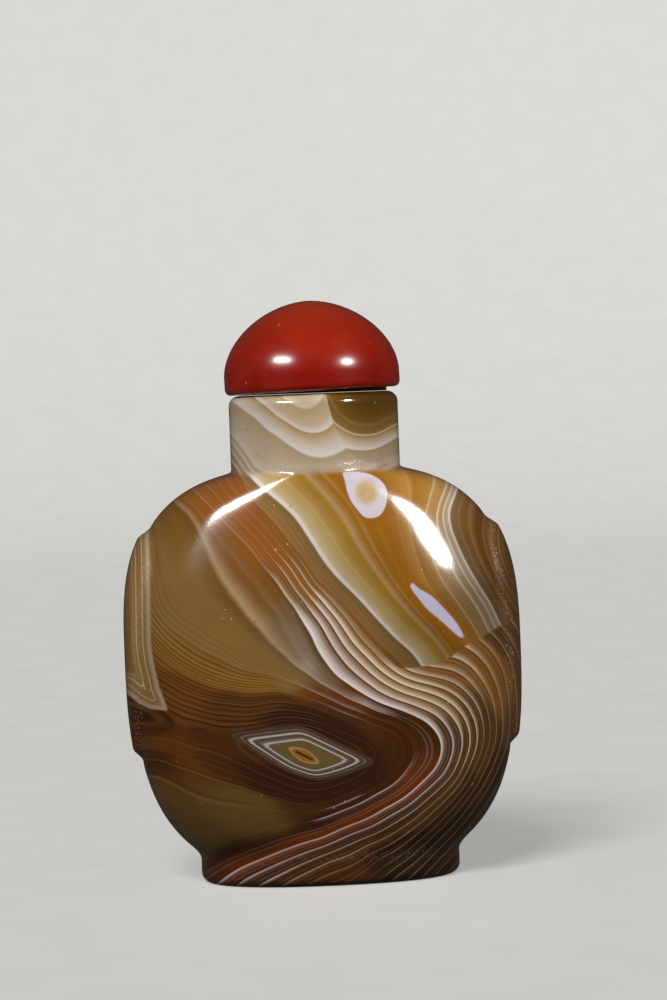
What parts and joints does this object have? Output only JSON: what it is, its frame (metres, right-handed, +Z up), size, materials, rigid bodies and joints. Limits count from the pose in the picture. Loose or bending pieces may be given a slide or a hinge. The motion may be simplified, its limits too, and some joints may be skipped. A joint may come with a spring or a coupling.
{
  "type": "snuff bottle",
  "caption": "Flattened, round-shouldered agate snuff bottle on an oval foot, with raised panels on its narrow sides and a domed red stopper on a cork.",
  "frame": {"origin": "centre of the foot's underside, on the surface that the bottle stands on", "axes": "+Z up through the mouth, X along the bottle's width from panel to panel, -Y out of the front face"},
  "size_m": [0.045, 0.0236, 0.0655],
  "materials": {
    "banded_agate": "polished, with honey, brown and white bands",
    "red_stone": "polished, opaque red",
    "cork": "matte, fine-grained cork"
  },
  "bodies": {
    "root": {"bottle": "banded_agate", "stopper_dome": "red_stone", "stopper_cork": "cork"}
  },
  "joints": []
}
